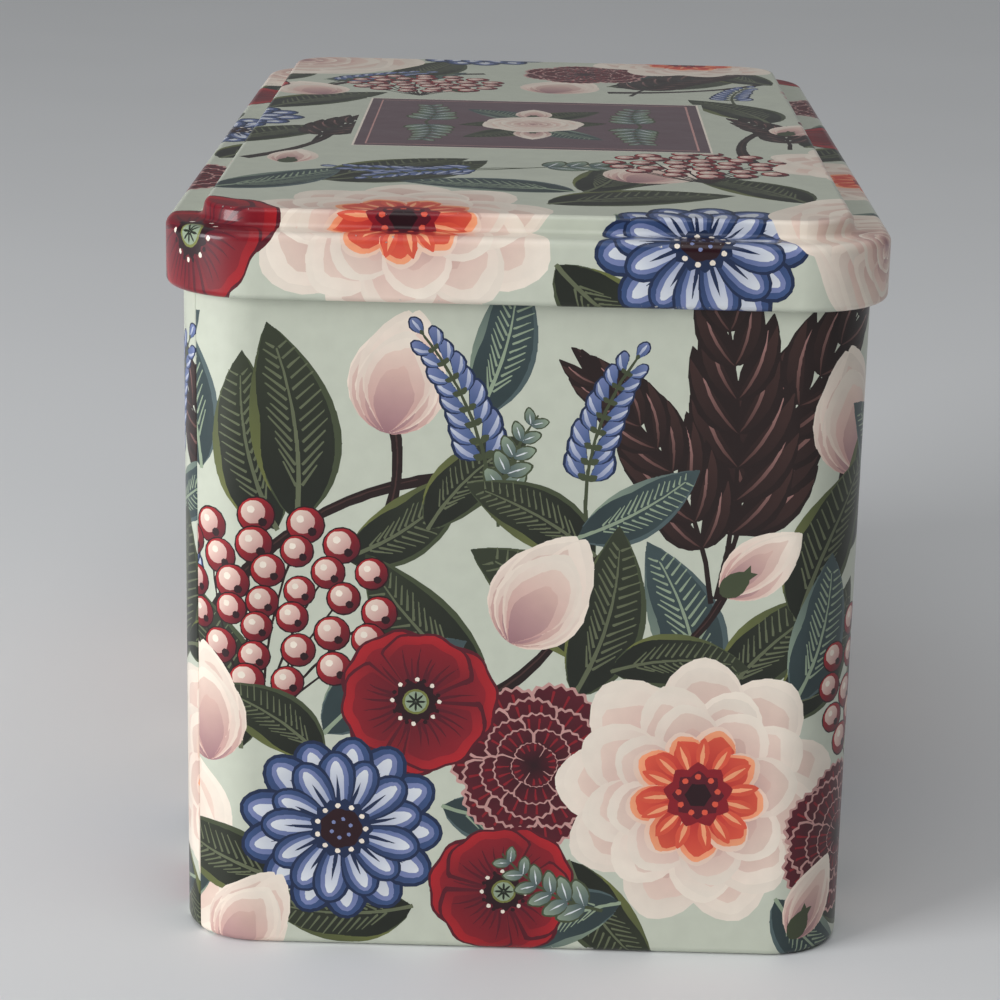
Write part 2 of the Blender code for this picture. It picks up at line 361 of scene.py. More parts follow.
    def lavender(self, foot, size, turn, bow=0.08):
        """A spike of small blue florets up a thin stem, largest at the bottom."""
        line = stem(foot, size, turn, bow, 25)
        self.paint(stroke(line[::4], 0.9, 0.5), MOSS)
        for step in range(7, 25, 2):
            grow = size * (0.20 - 0.0055 * (step - 7))
            for side in ((-1, 1) if step < 23 else (0,)):
                heading = direction(line, step) + side * (62 + self.vary(8))
                run = grow * turned(heading - 14 * side)
                for outer, inner, lean, long, wide in ((NAVY, NAVY, 0, 1.0, 0.62),
                                                       (PERIWINKLE, BLUE, 0, 0.93, 0.50),
                                                       (FROST, PERIWINKLE, 12 * side, 0.86, 0.13)):
                    floret = blade(grow * long, grow * wide, 1.5, 0.65, -0.5 * side, 9)
                    self.shade(line[step], floret * turned(heading + lean), run, outer, inner)
                self.paint(line[step] + blade(grow * 0.3, grow * 0.2, steps=7) * turned(heading), MOSS)

    def fern(self, foot, size, turn, bow=0.1):
        """A dark frond of paired leaflets, each with a paler rib."""
        line = stem(foot, size, turn, bow, 19)
        self.paint(stroke(line[::3], 1.2, 0.5), BARK)
        for step in range(4, 19, 2):
            grow = size * (0.12 + 0.22 * np.sin(np.pi * (0.25 + 0.65 * step / 18)))
            for side in (-1, 1):
                way = turned(direction(line, step) + side * (56 - step * 1.2) + self.vary(6))
                run = grow * way * turned(-10 * side)
                for outer, inner, long, wide, lean in ((BARK, BARK, 1, 0.36, 0),
                                                       (UMBER, BARK, 0.9, 0.18, 5 * side),
                                                       (ROSE, UMBER, 0.84, 0.035, 0)):
                    leaflet = blade(grow * long, grow * wide, 0.8, 0.85, -0.35 * side, 10)
                    self.shade(line[step], leaflet * way * turned(lean), run, outer, inner)
        self.paint(line[-1] + blade(size * 0.16, size * 0.06, 0.8, 0.8) * turned(turn), BARK)

    def sprig(self, foot, size, turn, bow=0.1):
        """A light sprig of small rounded leaves."""
        line = stem(foot, size, turn, bow, 21)
        self.paint(stroke(line[::4], 0.8, 0.4), MOSS)
        for step in range(3, 21, 3):
            grow = size * (0.30 - 0.008 * step)
            for side in (-1, 1):
                way = turned(direction(line, step) + side * 48 + self.vary(8))
                self.paint(line[step] + blade(grow, grow * 0.62, 0.9, 0.6, steps=9) * way, MOSS)
                inside = blade(grow * 0.92, grow * 0.50, 0.9, 0.6, steps=9) * way
                self.shade(line[step], inside, grow * way, SAGE, STEEL)
                self.paint(line[step] + blade(grow * 0.8, grow * 0.05, steps=5) * way, FROST)

    def branch(self, start, size, turn, bow=0.1, width=2.6):
        """A dark branch, thicker at its ends."""
        line = stem(start, size, turn, bow, 13)
        self.paint(stroke(line, width * 1.35, width, width * 0.8), BARK)
        self.paint(stroke(line[1:-1] + 0.15j * width, width * 0.16, width * 0.1), UMBER)

    def leaf(self, foot, size, turn, bend=0.3, width=0.42, inks=DARK_LEAF):
        """A dark pointed leaf with a light margin on one side and fine ribs."""
        def half_width(share):
            return size * width / 2 * np.sin(np.pi * share ** 0.85) ** 0.85

        rim, dark, light, rib = inks
        way = turned(turn)
        run = size * turned(turn + np.degrees(bend) / 2)
        share = np.linspace(0, 1, 16)
        spine = share * size * np.exp(1j * bend * share)
        across = 1j * half_width(share) * np.exp(1j * bend * share)
        self.paint(foot + np.concatenate([spine + across, (spine - across)[-2:0:-1]]) * way, rim)
        inside = np.concatenate([spine + 0.9 * across, (spine - 0.84 * across)[-2:0:-1]])
        self.paint(foot + inside * way, dark, rim, foot + 0.2 * run, 1.4 * run)
        narrowed = spine + across * np.interp(share, (0.1, 0.5, 0.9), (1, 0.74, 1))
        margin = np.concatenate([(spine + across)[1:14], narrowed[13:1:-1]])
        self.paint(foot + margin * way, light, rim, foot, run)
        self.paint(foot + stroke(spine[:14], size * 0.028, size * 0.008) * way, rib)
        for step in range(2, 16):
            place = 0.05 + step * 0.054
            along = np.exp(1j * bend * place)
            reach = half_width(place)
            for side in (-1, 1):
                rib_end = (0.15 * size * (1 - place) + 0.3 * reach + 0.70j * side * reach) * along
                start, end = 0.16 + self.vary(0.06), 0.86 + self.vary(0.1)
                ends = (place * size * along + start * rib_end, place * size * along + end * rib_end)
                self.paint(foot + stroke(ends, size * 0.014, size * 0.006) * way, rib)

    def teal_leaf(self, foot, size, turn, bend=0.3, width=0.42):
        self.leaf(foot, size, turn, bend, width, TEAL_LEAF)

    def lay(self, layout, offset=0j):
        for kind, *copies in layout:
            for along, up, size, turn, *more in copies:
                getattr(self, kind)(complex(along, up) + offset, size, turn, *more)


# Layouts, from the bottom up: a motif, and for each copy its place along and up the sheet, its
# size, its turn and what else it takes
WALL_REPEAT = 196.05
WALL_LAYOUT = (
    ("teal_leaf", (2, 108, 40, 98, 0.25), (172, 112, 40, 64, -0.25)), ("leaf", (178, 110, 36, 112)),
    ("teal_leaf", (112, 60, 38, 96, 0.25)), ("leaf", (116, 60, 36, 58, -0.25)),
    ("teal_leaf", (62, 122, 34, 62, 0.25, 0.4)), ("leaf", (20, 96, 40, 118, -0.3),
     (24, 98, 44, 84, 0.25, 0.44)), ("fern", (115, 83, 68, 65, 0.08), (114, 83, 66, 91, -0.06),
     (113, 82, 54, 118, -0.1)), ("branch", (4, 74, 62, 34, 0.12), (40, 92, 30, 82, -0.1),
     (60, 56, 46, 52, -0.12), (150, 70, 44, 100, 0.12)), ("tulip", (43, 118, 27, 78)),
    ("leaf", (34, 90, 34, 20, 0.3, 0.4), (52, 97, 30, 62, -0.3)), ("lavender", (66, 100, 44, 112, -0.08)),
    ("sprig", (67, 98, 26, 72, 0.08)), ("lavender", (86, 96, 42, 76, 0.1)),
    ("leaf", (88, 92, 32, 140, 0.2)), ("teal_leaf", (84, 96, 30, 20, 0.2, 0.4)),
    ("tulip", (146, 110, 28, 100)), ("leaf", (142, 92, 38, 52, 0.3, 0.44), (132, 78, 42, 78, -0.3)),
    ("teal_leaf", (168, 96, 38, 112)), ("leaf", (96, 66, 44, 128, 0.25, 0.44),
     (66, 62, 40, 150, -0.3, 0.44), (84, 60, 40, 60), (12, 46, 40, 96, 0.3, 0.44)),
    ("teal_leaf", (30, 50, 38, 50, -0.25, 0.44)), ("leaf", (128, 56, 36, 40),
     (152, 50, 42, 74, -0.3, 0.44)), ("sprig", (178, 60, 34, 100)), ("lavender", (184, 76, 44, 82, 0.1),
     (196, 70, 40, 112, -0.08)), ("carnation", (180, 138, 15, 0)), ("berries", (17, 80, 24, 10)),
    ("tulip", (70, 72, 28, 58)), ("branch", (98, 66, 26, 46, -0.1, 2.0)), ("bud", (115, 84, 22, 40)),
    ("leaf", (60, 14, 38, -24)), ("teal_leaf", (6, 18, 34, 200)), ("leaf", (140, 12, 38, -12, 0.3, 0.44),
     (182, 30, 38, 66, 0.3, 0.44), (22, 14, 36, 150, 0.3, 0.44), (50, 10, 34, 196, -0.3),
     (30, 44, 30, 130, 0.3, 0.44)), ("teal_leaf", (56, 34, 32, -20)),
    ("leaf", (84, 22, 34, -70, 0.3, 0.44), (92, 66, 30, 20, -0.3)),
    ("teal_leaf", (132, 60, 34, 60, 0.3, 0.44)), ("leaf", (150, 6, 30, 30, 0.3, 0.44)),
    ("teal_leaf", (130, 14, 32, -60), (96, 12, 30, 190)), ("carnation", (76, 44, 19, 20)),
    ("berries", (164, 62, 23, 0)), ("dahlia", (112, 38, 32, 12)), ("poppy", (50, 58, 17, 10)),
    ("carnation", (148, 26, 18, 0)), ("aster", (34, 28, 22, 0)), ("poppy", (70, 14, 16, 50)),
    ("peony", (180, 22, 28, 30)), ("tulip", (4, 42, 27, 96)), ("aster", (195, 60, 17, 0)),
    ("sprig", (92, 10, 26, 150)), ("bud", (134, 4, 21, 62)), ("tulip", (8, -4, 24, 60)),
)
LID_LAYOUT = (
    ("branch", (-66, -60, 50, 70, -0.1), (-60, 56, 60, 40, 0.12), (8, -110, 56, 42, 0.12),
     (20, 62, 52, 30, -0.12), (52, -52, 60, 80)), ("leaf", (-46, -88, 48, 24), (-44, -84, 42, 62, -0.3)),
    ("teal_leaf", (10, -96, 40, 150)), ("leaf", (4, -112, 44, 38, -0.3, 0.44)),
    ("teal_leaf", (18, -122, 42, -36, 0.3, 0.44)), ("leaf", (6, -140, 36, -50, 0.3, 0.44),
     (12, -96, 40, 62), (60, -104, 40, 110)), ("teal_leaf", (60, -112, 40, 20)),
    ("leaf", (96, -96, 36, -60), (-92, -100, 36, -80)), ("teal_leaf", (-70, -100, 40, 30)),
    ("leaf", (-48, -124, 36, 200), (-76, -40, 44, 66, -0.3)), ("teal_leaf", (-90, -40, 40, 108)),
    ("leaf", (-68, 20, 44, 66, -0.3), (-80, 22, 42, 112)), ("teal_leaf", (-58, 76, 44, 10)),
    ("leaf", (-76, 70, 40, 60), (-40, 84, 44, 50), (20, 74, 44, 12)),
    ("teal_leaf", (30, 84, 42, 60, -0.3)), ("leaf", (66, 84, 42, 130, -0.3), (60, 12, 44, 98)),
    ("teal_leaf", (76, 18, 44, 62, -0.3)), ("leaf", (66, -26, 42, 58, -0.3), (92, 60, 38, 100, -0.3),
     (-34, 128, 42, 40)), ("teal_leaf", (4, 140, 40, 150)), ("leaf", (40, 132, 40, 20)),
    ("fern", (-52, -34, 46, 72, 0.08), (26, 56, 56, 60, 0.08), (62, -30, 44, 100, -0.08)),
    ("lavender", (-1, -66, 44, 184, 0.1), (-1, -66, 40, 206, -0.1)), ("sprig", (-1, -66, 34, 4)),
    ("lavender", (-58, 62, 44, 50, 0.1), (54, 40, 40, 82)), ("tulip", (22, -82, 28, 62),
     (-56, 46, 26, 110), (4, 58, 28, 74)), ("bud", (-56, -66, 20, 84), (62, -8, 20, 70),
     (-18, 56, 20, 120)), ("berries", (40, -56, 20, 20), (-30, 72, 19, 30)),
    ("carnation", (-88, -66, 20, 0)), ("aster", (-78, 4, 20, 0)), ("poppy", (-86, 66, 19, 0),
     (86, 14, 19, 0)), ("dahlia", (84, -52, 29, 0)), ("carnation", (86, 66, 19, 0)),
    ("dahlia", (-26, -126, 33, 12)), ("poppy", (-72, -130, 20, 10)), ("aster", (36, -134, 22, 0)),
    ("peony", (78, -122, 26, 0), (-66, 116, 32, 0)), ("carnation", (14, 98, 18, 0)),
    ("aster", (-16, 134, 21, 0)), ("dahlia", (44, 126, 29, 0)), ("poppy", (86, 128, 19, 0)),
)
LABEL_CENTRE = 0.2 + 1.6j
LABEL_HALF = 43 + 40j    # half its width and half its depth
LABEL_FRAMES = ((-1.2, GROUND), (0, CREAM), (0.5, PLUM), (3.0, ROSE), (3.4, PLUM))    # inset, ink


def add_label(sheet):
    """A plain plum panel with a fine border, a small posy and a leafy sprig on either side."""
    for inset, ink in LABEL_FRAMES:
        half = LABEL_HALF - inset * (1 + 1j)
        sheet.paint(LABEL_CENTRE + np.array([-half, half.conjugate(), half, -half.conjugate()]), ink)
    for side in (-1, 1):
        for end in (-1, 1):
            sheet.sprig(LABEL_CENTRE + 27 * side, 30, 90 * end, 0.06 * side * end)
        sheet.teal_leaf(LABEL_CENTRE + 4j * side, 26, 90 * side + 24, 0.3, 0.44)
        sheet.leaf(LABEL_CENTRE + 4j * side, 26, 90 * side - 24, -0.3, 0.44)
        sheet.bud(LABEL_CENTRE + 9j * side, 16, 90 * side)
        sheet.leaf(LABEL_CENTRE, 19, 90 - 90 * side, 0.2, 0.5)
    sheet.peony(LABEL_CENTRE, 13, 20)


# Print on a sheet: triangles that each show the topmost ink

SQUARE = 0.125           # mm, side of the small squares on which the topmost ink is found
BORDER_ERROR = 0.1       # mm, how far a border between inks may be moved to make it simpler
SPECK = 0.55             # mm, smaller islands of ink are left out
WELD = 1e-4              # mm, places nearer than this are joined
SLIVER = 0.03            # mm, a triangle whose inscribed circle is smaller follows its neighbours
ALIKE = 6                # so does one where fewer than this many of its sampled spots are alike
FOLLOWERS = 6            # longest row of triangles that follow one another

# Spots where a triangle's ink is sampled, as weights of its corners
SAMPLES = ((1, 1, 1), (6, 1, 1), (1, 6, 1), (1, 1, 6), (2, 2, 1), (2, 1, 2), (1, 2, 2))


def ink_map(shapes, low, high):
    """The number of the topmost shape, from 1, on each small square; 0 is the bare ground."""
    columns, rows = ceil((high - low).real / SQUARE), ceil((high - low).imag / SQUARE)
    top = np.zeros((rows, columns), np.int32)
    for number, (outline, *_) in enumerate(shapes, 1):
        start = (outline - low) / SQUARE - (0.5 + 0.5j)
        end = np.roll(start, -1)
        left, right = max(0, ceil(start.real.min())), min(columns, floor(start.real.max()) + 1)
        bottom, upper = max(0, ceil(start.imag.min())), min(rows, floor(start.imag.max()) + 1)
        if left >= right or bottom >= upper:
            continue
        levels = np.arange(bottom, upper)[:, None]
        rising = (start.imag <= levels) & (end.imag > levels)
        row, edge = np.nonzero(rising | ((end.imag <= levels) & (start.imag > levels)))
        share = (levels[row, 0] - start.imag[edge]) / (end.imag[edge] - start.imag[edge])
        column = np.ceil(start.real[edge] + share * (end.real[edge] - start.real[edge])).astype(int)
        turns = np.zeros((upper - bottom, right - left + 1), np.int32)
        column = np.clip(column - left, 0, right - left)
        np.add.at(turns, (row, column), np.where(rising[row, edge], 1, -1))
        top[bottom:upper, left:right][np.cumsum(turns, axis=1)[:, :-1] != 0] = number
    return top


def ink_borders(top):
    """Lines along which the ink changes, as complex places counted in squares."""
    width = top.shape[1] + 1
    row, column = np.nonzero(top[:, 1:] != top[:, :-1])
    upright = row * width + column + 1
    row, column = np.nonzero(top[1:] != top[:-1])
    level = (row + 1) * width + column
    nodes = np.concatenate([upright, level, upright + width, level + 1])
    count = len(nodes) // 2
    order = np.argsort(nodes, kind="stable")
    _, first, degree = np.unique(nodes[order], return_index=True, return_counts=True)
    pairs = first[degree == 2]
    partner = np.full(2 * count, -1)
    partner[order[pairs]] = order[pairs + 1]
    partner[order[pairs + 1]] = order[pairs]
    place = nodes % width + 1j * (nodes // width)
    middle = (place[:count] + place[count:]) / 2
    partner = partner.tolist()
    used = bytearray(count)
    lines = []
    loose = [half for half in range(2 * count) if partner[half] < 0]
    for start in loose + list(range(count)):
        if used[start % count]:
            continue
        chain = []
        half = start
        while half >= 0 and not used[half % count]:
            used[half % count] = 1
            chain.append(half % count)
            far = (half + count) % (2 * count)
            half = partner[far]
        if half < 0:
            lines.append(np.concatenate([[place[start]], middle[chain], [place[far]]]))
        else:
            lines.append(np.append(middle[chain], middle[chain[0]]))
    return lines


def simplified(points, error):
    """The points of a line that are needed to stay within an error of it."""
    keep = {0, len(points) - 1}
    spans = [(0, len(points) - 1)]
    while spans:
        first, last = spans.pop()
        if last - first < 2:
            continue
        chord = points[last] - points[first]
        offsets = points[first + 1:last] - points[first]
        if abs(chord) < SAME:
            away = abs(offsets)
        else:
            away = abs((offsets * chord.conjugate()).imag) / abs(chord)
        worst = int(np.argmax(away))
        if away[worst] > error:
            split = first + 1 + worst
            keep.add(split)
            spans += [(first, split), (split, last)]
    return points[sorted(keep)]


def with_doubts_joined(triangles, corners, winner, alike, borders):
    """The winners, with each doubtful triangle taking that of its largest neighbour inside the
    same borders."""
    sides = np.sort(np.stack([triangles, np.roll(triangles, -1, axis=1)], -1), axis=-1).reshape(-1, 2)
    whole = triangles.max() + 1
    keys = sides[:, 0] * whole + sides[:, 1]
    closed = np.isin(keys, borders.min(axis=1) * whole + borders.max(axis=1))
    order = np.argsort(np.where(closed, -1, keys), kind="stable")[np.count_nonzero(closed):]
    paired = np.nonzero(keys[order[:-1]] == keys[order[1:]])[0]
    one, other = order[paired] // 3, order[paired + 1] // 3
    one, other = np.concatenate([one, other]), np.concatenate([other, one])
    steps = np.roll(corners, -1, axis=1) - corners
    area = abs((steps[:, 0].conjugate() * steps[:, 1]).imag) / 2
    sure = (alike >= ALIKE) & (2 * area / abs(steps).sum(axis=1) > SLIVER)
    by_size = np.argsort(area[other], kind="stable")
    one, other = one[by_size], other[by_size]
    for _ in range(FOLLOWERS):
        reached = ~sure[one] & sure[other]
        winner[one[reached]] = winner[other[reached]]
        sure[one[reached]] = True
    return winner


def printed_triangles(outline, shapes, guides, ground):
    """Places, triangles and inks of the outlined region, cut where the ink changes and along guides."""
    margin = 1 + 1j
    low = complex(outline.real.min(), outline.imag.min()) - margin
    high = complex(outline.real.max(), outline.imag.max()) + margin
    top = ink_map(shapes, low, high)
    borders = []
    for line in ink_borders(top):
        line = simplified(line, BORDER_ERROR / SQUARE)
        if line[0] != line[-1] or np.ptp(line.real) + np.ptp(line.imag) > SPECK / SQUARE:
            borders.append(low + line * SQUARE)
    spots, edges = list(outline), []
    for line in guides + borders:
        edges += [(spot, spot + 1) for spot in range(len(spots), len(spots) + len(line) - 1)]
        spots.extend(line)
    points = [Vector((spot.real, spot.imag)) for spot in spots]
    found = delaunay_2d_cdt(points, edges, [list(range(len(outline)))], 0, WELD, True)
    places, found_edges, found_faces, _, edge_origins, face_origins = found
    triangles = np.array([face for face, region in zip(found_faces, face_origins) if region])
    places = np.array([complex(*spot) for spot in places])
    corners = places[triangles]
    votes = []
    for weights in SAMPLES:
        spot = (corners @ (np.array(weights) / sum(weights)) - low) / SQUARE
        votes.append(top[spot.imag.astype(int), spot.real.astype(int)])
    votes = np.stack(votes, 1)
    alike = (votes[:, :, None] == votes[:, None, :]).sum(axis=2)
    winner = votes[np.arange(len(votes)), alike.argmax(axis=1)]
    first_border = sum(len(line) - 1 for line in guides)
    closed = [edge for edge, origins in zip(found_edges, edge_origins)
              if any(first_border <= number < len(edges) for number in origins)]
    winner = with_doubts_joined(triangles, corners, winner, alike.max(axis=1), np.array(closed))
    inks = np.array([(ground, ground)] + [shape[1] for shape in shapes])[winner]
    start = np.array([0] + [shape[2] for shape in shapes])[winner]
    run = np.array([1] + [shape[3] for shape in shapes])[winner]
    share = np.clip(((corners - start[:, None]) / run[:, None]).real, 0, 1)[..., None]
    return places, triangles, inks[:, None, 0] * (1 - share) + inks[:, None, 1] * share


# Sections and outlines

def rounded_path(*corners):
    """Points along a section with rounded corners, as complex inset and height, with headings,
    lengths and how much each point is rubbed, which is 1 in the middle of an outward bend.

    corners holds (inset, height, radius); the heading turns evenly round each corner.
    """
    points = [complex(inset, height) for inset, height, _ in corners]
    spots, headings, rubbed = [points[0]], [phase(points[1] - points[0])], [0.0]
    for before, corner, after, (_, _, radius) in zip(points, points[1:], points[2:], corners[1:]):
        arrive, leave = corner - before, after - corner
        turn = phase(leave / arrive)
        side = 1j if turn > 0 else -1j
        start = corner - arrive / abs(arrive) * radius * tan(abs(turn) / 2)
        centre = start + side * arrive / abs(arrive) * radius
        steps = max(2, ceil(abs(turn) / radians(TURN_STEP)))
        first = headings[-1]
        for step in range(steps + 1):
            heading = first + turn * step / steps
            spot = centre - side * radius * np.exp(1j * heading)
            if abs(spot - spots[-1]) > SAME:
                spots.append(spot)
                headings.append(heading)
                rubbed.append(sin(pi * step / steps) if turn < 0 else 0.0)
            else:
                headings[-1] = heading
    if abs(points[-1] - spots[-1]) > SAME:
        spots.append(points[-1])
        headings.append(headings[-1])
        rubbed.append(0.0)
    spots, headings = np.array(spots), np.array(headings)
    lengths = np.concatenate([[0], np.cumsum(abs(np.diff(spots)))])
    return spots, headings, lengths, np.array(rubbed)


def lid_section():
    """The lid's outer face, from the hem's free edge up the skirt to the raised panel."""
    panel = STEP_INSET + STEP_RUN
    return rounded_path((HEM / 2, HEM_Z + HEM, 0), (HEM, HEM_Z + HEM, HEM / 2), (HEM, HEM_Z, HEM / 2),
                        (0, HEM_Z, HEM / 2), (0, SHOULDER_Z, SHOULDER_EDGE),
                        (STEP_INSET, SHOULDER_Z, STEP_FOOT), (panel, HEIGHT, STEP_EDGE),
                        (panel + 2 * STEP_EDGE, HEIGHT, 0))


def wall_section():
    """The wall's outer face: turned-up foot edge, foot ring, tuck, wall and rolled rim."""
    return rounded_path((FOOT_RING, FOOT_UPTURN, 0), (FOOT_RING, 0, FOOT_BEND), (0, 0, TUCK),
                        (0, RIM_Z, RIM / 2), (RIM, RIM_Z, RIM / 2), (RIM, RIM_Z - RIM, RIM / 2),
                        (RIM / 2, RIM_Z - RIM, 0))


def bottom_section():
    """The bottom panel's upper face, from its hook's free edge over the rim to the floor."""
    outside = FOOT_RING - 2 * SHEET - GAP
    inside = FOOT_RING + GAP + SHEET
    crest, low = FOOT_UPTURN + GAP + SHEET, FLOOR_UNDERSIDE + SHEET
    return rounded_path((outside, BOTTOM_HOOK_END, 0), (outside, crest, HOOK_BEND),
                        (inside, crest, HOOK_BEND), (inside, low, BOTTOM_BEND),
                        (inside + 3 * BOTTOM_BEND, low, 0))


def faces_of_section(section):
    """Places and outward directions of both faces of the sheet, as complex inset and height."""
    spots, headings = section[:2]
    outward = 1j * np.exp(1j * headings)
    return (spots, outward), (spots - SHEET * outward, -outward)


def rounded_outline(core):
    """Corner centres and directions all round a rounded rectangle, from the near right corner."""
    centres, ways = [], []
    for side_x, side_y, first in ((1, -1, -90), (1, 1, 0), (-1, 1, 90), (-1, -1, 180)):
        angles = first + np.linspace(0, 90, CORNER_STEPS + 1)
        centres.append(np.full(len(angles), complex(side_x * core.real, side_y * core.imag)))
        ways.append(turned(angles))
    return np.concatenate(centres), np.concatenate(ways)


def between(at, stations, values):
    """Complex values interpolated along stations."""
    return np.interp(at, stations, values.real) + 1j * np.interp(at, stations, values.imag)


# Bake map: the printed face fills it up to PRINT_TOP, cut edges lie above that, and the back on top
PRINT_TOP = 0.94
EDGE_LINE = 0.945
BACK_FOOT = 0.95
BACK_RISE = 0.05


class Skin:
    """Vertices, faces, normals, bake places and inks of one mesh, added patch by patch."""

    def __init__(self):
        self.places, self.normals, self.map, self.faces, self.inks, self.slots = [], [], [], [], [], []
        self.count = 0

    def add(self, plan, heights, facing, rises, spots, faces, inks=None, slot=1):
        """One patch: plan and facing are complex, spots are complex places on the bake map."""
        plan, heights, facing, rises, spots = np.broadcast_arrays(plan, heights, facing, rises, spots)
        self.places.append(np.stack([plan.real, plan.imag, heights], -1).reshape(-1, 3) * MM)
        self.normals.append(np.stack([facing.real, facing.imag, rises], -1).reshape(-1, 3))
        self.map.append(np.stack([spots.real, spots.imag], -1).reshape(-1, 2))
        self.faces += (np.asarray(faces) + self.count).tolist()
        self.inks.append(np.zeros((np.size(faces), 4)) if inks is None else inks.reshape(-1, 4))
        self.slots += [slot] * len(faces)
        self.count += plan.size

    def add_edge(self, outer, inner, facing, rise, spots, flip, wrap=False, slot=1):
        """The cut edge between two faces of the sheet, each given by its plan places and heights."""
        plan = np.stack([outer[0], inner[0]])
        heights = np.stack([outer[1], inner[1]])
        faces = grid_faces(*plan.shape, wrap, flip)
        self.add(plan, heights, facing, rise, spots + 1j * EDGE_LINE, faces, slot=slot)

    def mesh(self, name, materials):
        data = bpy.data.meshes.new(name)
        data.from_pydata(np.concatenate(self.places).tolist(), [], self.faces)
        for material in materials:
            data.materials.append(material)
        data.polygons.foreach_set("material_index", self.slots)
        corners = np.empty(len(data.loops), np.int32)
        data.loops.foreach_get("vertex_index", corners)
        rgba = np.concatenate(self.inks)
        inks = rgba[:, :3]
        rgba[:, :3] = np.where(inks <= 0.04045, inks / 12.92, ((inks + 0.055) / 1.055) ** 2.4)
        attribute = data.color_attributes.new("ink", "FLOAT_COLOR", "CORNER")
        attribute.data.foreach_set("color", rgba.astype(np.float32).ravel())
        layer = data.uv_layers.new(name="OFBake")
        layer.uv.foreach_set("vector", np.concatenate(self.map)[corners].astype(np.float32).ravel())
        data.shade_smooth()
        normals = np.concatenate(self.normals)
        normals /= np.linalg.norm(normals, axis=1)[:, None]
        data.normals_split_custom_set_from_vertices(normals.tolist())
        data.update()
        return data


def grid_faces(rows, columns, wrap=False, flip=False):
    spots = np.arange(rows * columns).reshape(rows, columns)
    if wrap:
        spots = np.hstack([spots, spots[:, :1]])
    faces = np.stack([spots[:-1, :-1], spots[:-1, 1:], spots[1:, 1:], spots[1:, :-1]], -1).reshape(-1, 4)
    return faces[:, ::-1] if flip else faces


def add_print(skin, surface, spots, triangles, inks, section, along, bake):
    """The printed face, with how much each corner is rubbed as a fourth value of its ink."""
    rubbed = np.interp(along[triangles], section[2], section[3])[..., None]
    skin.add(*surface, bake, triangles, np.concatenate([inks, rubbed], -1), 0)


# Walls

# Where the wall starts or ends a turn, from seam to seam: the corner's sides in X and Y, direction
WALL_TURNS = ((-1, -1, SEAM_ANGLE), (-1, -1, 270), (1, -1, 270), (1, -1, 360), (1, 1, 360),
              (1, 1, SEAM_ANGLE + 180))
STEEPEST_LIP = 0.98      # sine of the steepest slope that the groove's normals show


def wall_run():
    """Along the sheet from seam to seam: lengths, corner centres and directions at each change."""
    centres = np.array([complex(x * BODY_CORE.real, y * BODY_CORE.imag) for x, y, _ in WALL_TURNS])
    angles = np.array([angle for _, _, angle in WALL_TURNS])
    steps = abs(np.diff(centres)) + np.radians(np.diff(angles)) * BODY_CORNER
    return np.concatenate([[0], np.cumsum(steps)]), centres, angles


def wall_rise():
    """Length of the section below the height 0 of the print."""
    spots, _, lengths, _ = wall_section()
    straight = np.nonzero((spots.real < SAME) & (spots.imag > TUCK / 2))[0][0]
    return lengths[straight] - spots[straight].imag


def wall_stations():
    lengths, _, _ = wall_run()
    stations = [lengths]
    for start, end in zip(lengths[::2], lengths[1::2]):
        count = ceil((end - start) / (pi / 2 * BODY_CORNER / CORNER_STEPS))
        stations.append(np.linspace(start, end, count + 1))
    lips = GROOVE_HALF * (1 - np.cos(np.linspace(0, pi / 2, LIP_POINTS)))
    stations += [lips, lengths[-1] - lips]
    return np.unique(np.round(np.concatenate(stations), 6))


def on_wall(along, up, side=0):
    """Plan places, heights and normals of the sheet's outer (0) or inner (1) face."""
    lengths, centres, angles = wall_run()
    section = wall_section()
    spots, outward = faces_of_section(section)[side]
    way = turned(np.interp(along, lengths, angles))
    spot = between(up, section[2], spots)
    facing = between(up, section[2], outward)
    edge = np.minimum(along, lengths[-1] - along)
    lip = np.clip(1 - edge / GROOVE_HALF, 0, 1)
    dip = GROOVE_DEPTH * (1 - np.sqrt(1 - lip ** 2))
    tilt = np.arcsin(np.minimum(lip, STEEPEST_LIP)) * np.where(along < lengths[-1] / 2, -1, 1)
    plan = between(along, lengths, centres) + way * (BODY_CORNER - spot.real - dip)
    return plan, spot.imag, -facing.real * way * np.exp(1j * tilt), facing.imag


def wall_mesh(name, sheet, materials):
    lengths, _, angles = wall_run()
    section = wall_section()
    ups = section[2]
    whole, tall = lengths[-1], ups[-1]
    stations = wall_stations()
    outline = np.array([0, whole, whole + 1j * tall, 1j * tall])
    guides = [np.array([spot, spot + 1j * tall]) for spot in stations[1:-1]]
    guides += [np.array([1j * up, whole + 1j * up]) for up in ups[1:-1]]
    spots, triangles, inks = printed_triangles(outline, sheet.shapes, guides, np.array(GROUND) / 255)
    skin = Skin()
    bake = spots.real / whole + 1j * (spots.imag / tall) * PRINT_TOP
    add_print(skin, on_wall(spots.real, spots.imag), spots, triangles, inks, section, spots.imag, bake)
    along, up = np.meshgrid(stations, ups)
    bake = along / whole + 1j * (BACK_FOOT + BACK_RISE * up / tall)
    skin.add(*on_wall(along, up, 1), bake, grid_faces(*along.shape, flip=True))
    way = turned(np.interp(stations, lengths, angles))
    for row, sign in ((0, -1), (-1, 1)):
        up = np.full(len(stations), ups[row])
        facing = sign * np.exp(1j * section[1][row])
        skin.add_edge(on_wall(stations, up), on_wall(stations, up, 1), -facing.real * way, facing.imag,
                      stations / whole, sign < 0)
    for end, sign in ((0, -1), (-1, 1)):
        along = np.full(len(ups), stations[end])
        skin.add_edge(on_wall(along, ups), on_wall(along, ups, 1), sign * 1j * turned(angles[end]), 0.0,
                      0.5, sign > 0)
    return skin.mesh(name, materials)


# Lid and bottom

